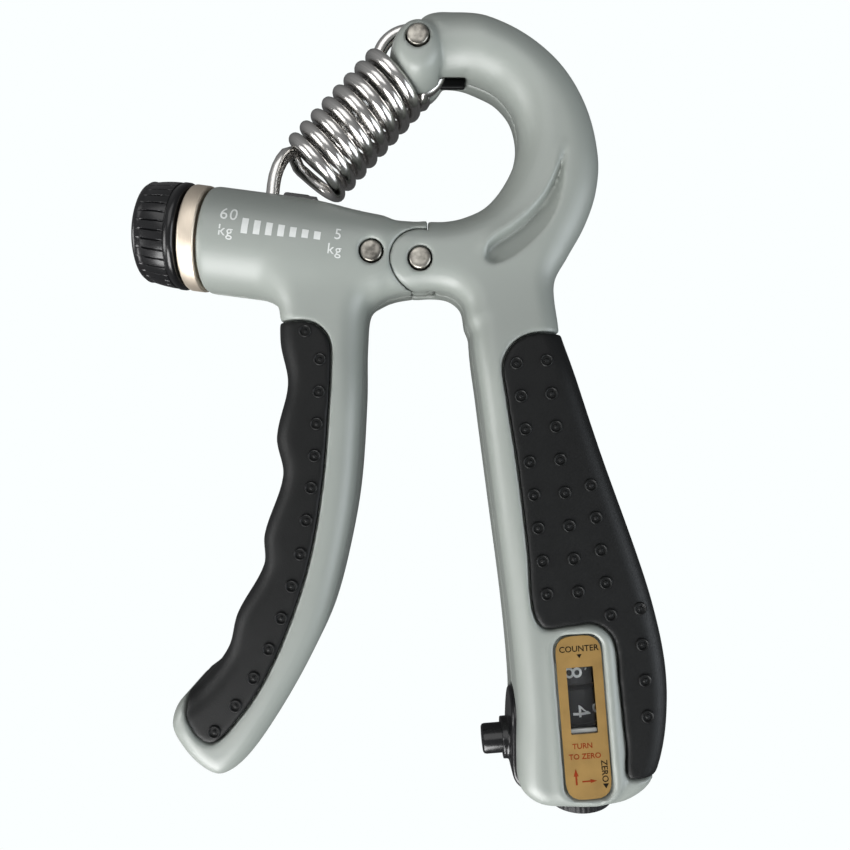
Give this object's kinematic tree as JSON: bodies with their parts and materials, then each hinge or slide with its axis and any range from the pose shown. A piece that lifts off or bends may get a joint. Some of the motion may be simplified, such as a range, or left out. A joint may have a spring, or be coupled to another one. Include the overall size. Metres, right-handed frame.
{
  "type": "hand grip strengthener",
  "caption": "Adjustable hand grip strengthener: a sprung lever squeezes towards a C-shaped frame, with a force adjuster knob and a squeeze counter.",
  "frame": {"origin": "middle of the footprint of the grip lying on its back, on the surface it lies on", "axes": "+Y from the handles' lower ends up to the spring's nose pin, +X from the finger handle to the palm handle, +Z out of the front with the counter's window"},
  "size_m": [0.1012, 0.1543, 0.0234],
  "materials": {
    "body_grey": "satin moulded ABS, silver grey",
    "grip_rubber": "matt soft rubber with a fine texture",
    "black_plastic": "semi-gloss moulded plastic",
    "steel": "bright plated steel",
    "brass": "turned brass",
    "champagne": "anodised champagne, lathe turned",
    "label_gold": "metallic gold film with black print",
    "wheel_plastic": "black with white digits",
    "bush_plastic": "natural acetal",
    "clear_plastic": "clear acrylic"
  },
  "bodies": {
    "frame": {"frame_front_shell": "body_grey", "frame_back_shell": "body_grey", "palm_grip_pad": "grip_rubber", "pivot_pin": "steel", "nose_pin": "steel", "frame_screw_1": "steel", "frame_screw_2": "steel", "frame_screw_3": "steel", "counter_label": "label_gold", "counter_window": "clear_plastic", "counter_chassis": "black_plastic", "transfer_pinion": "bush_plastic", "pinion_shaft": "steel", "detent_spring": "steel", "button_bezel": "black_plastic"},
    "lever": {"lever_front_shell": "body_grey", "lever_back_shell": "body_grey", "finger_grip_pad": "grip_rubber", "lever_pin": "steel", "pivot_bush": "bush_plastic", "lever_screw_1": "steel", "lever_screw_2": "steel", "lever_screw_3": "steel", "thrust_block": "steel", "thrust_washer": "brass", "barrel_bearing": "bush_plastic", "knob_collar": "champagne"},
    "slider": {"spring_slider": "black_plastic", "slider_nut": "brass", "slider_hook_pin": "steel"},
    "adjuster": {"lead_screw": "steel", "screw_circlip": "steel", "adjuster_knob": "black_plastic", "knob_screw": "steel"},
    "nose_bush": {"spring_bush": "bush_plastic"},
    "spring_upper": {"extension_spring": "steel"},
    "spring_lower": {"spring_lower_hook": "steel"},
    "button": {"count_button": "black_plastic", "ratchet_pawl": "steel", "button_return_spring": "steel"},
    "units_wheel": {"units_wheel": "wheel_plastic", "ratchet_wheel": "black_plastic"},
    "tens_wheel": {"tens_wheel": "wheel_plastic"},
    "reset": {"reset_knob": "black_plastic", "counter_shaft": "steel"}
  },
  "joints": [
    {"name": "squeeze", "type": "hinge", "parent": "frame", "child": "lever", "pos_m": [0.00459, 0.02767, 0.0117], "axis": [0, 0, 1], "range_deg": [0, 27], "stiffness_Nm_per_rad": 5, "springref_deg": -5.73},
    {"name": "knob_turn", "type": "hinge", "parent": "lever", "child": "adjuster", "pos_m": [0.00459, 0.02767, 0.0117], "axis": [-0.9914, 0.1305, 0], "range_deg": [-1920, 720]},
    {"name": "slider_travel", "type": "slide", "parent": "lever", "child": "slider", "axis": [-0.9914, 0.1305, 0], "range_m": [-0.0081, 0.0031]},
    {"name": "spring_swing", "type": "hinge", "parent": "frame", "child": "nose_bush", "pos_m": [0.00419, 0.06937, 0.0117], "axis": [0, 0, 1], "range_deg": [0, 8.1]},
    {"name": "spring_swing_adjust", "type": "hinge", "parent": "nose_bush", "child": "spring_upper", "pos_m": [0.00419, 0.06937, 0.0117], "axis": [0, 0, 1], "range_deg": [-3.6, 9.5]},
    {"name": "spring_stretch", "type": "slide", "parent": "spring_upper", "child": "spring_lower", "axis": [-0.6463, -0.7631, 0], "range_m": [0, 0.0121], "deforming": ["extension_spring", "spring_lower_hook"]},
    {"name": "button_press", "type": "slide", "parent": "frame", "child": "button", "axis": [0.9968, 0.0802, 0], "range_m": [0, 0.0041], "deforming": ["button_return_spring"]},
    {"name": "units_wheel_turn", "type": "hinge", "parent": "frame", "child": "units_wheel", "pos_m": [0.03409, -0.05333, 0.0137], "axis": [0.0802, -0.9968, 0], "range_deg": [0, 36.5]},
    {"name": "reset_turn", "type": "hinge", "parent": "frame", "child": "reset", "pos_m": [0.03409, -0.05333, 0.0137], "axis": [0.0802, -0.9968, 0], "continuous": true},
    {"name": "tens_wheel_turn", "type": "hinge", "parent": "frame", "child": "tens_wheel", "pos_m": [0.03409, -0.05333, 0.0137], "axis": [0.0802, -0.9968, 0], "continuous": true}
  ],
  "couplings": [
    {"joint": "slider_travel", "follows": "knob_turn", "m_per_rad": 0.00023873},
    {"joint": "spring_swing_adjust", "follows": "knob_turn", "ratio": -0.004882},
    {"joint": "spring_swing", "follows": "squeeze", "ratio": 0.2941},
    {"joint": "spring_stretch", "follows": "squeeze", "m_per_rad": 0.02513},
    {"joint": "button_press", "follows": "squeeze", "m_per_rad": 0.008488},
    {"joint": "units_wheel_turn", "follows": "squeeze", "ratio": 1.3333},
    {"joint": "tens_wheel_turn", "follows": "reset_turn", "ratio": 1}
  ]
}
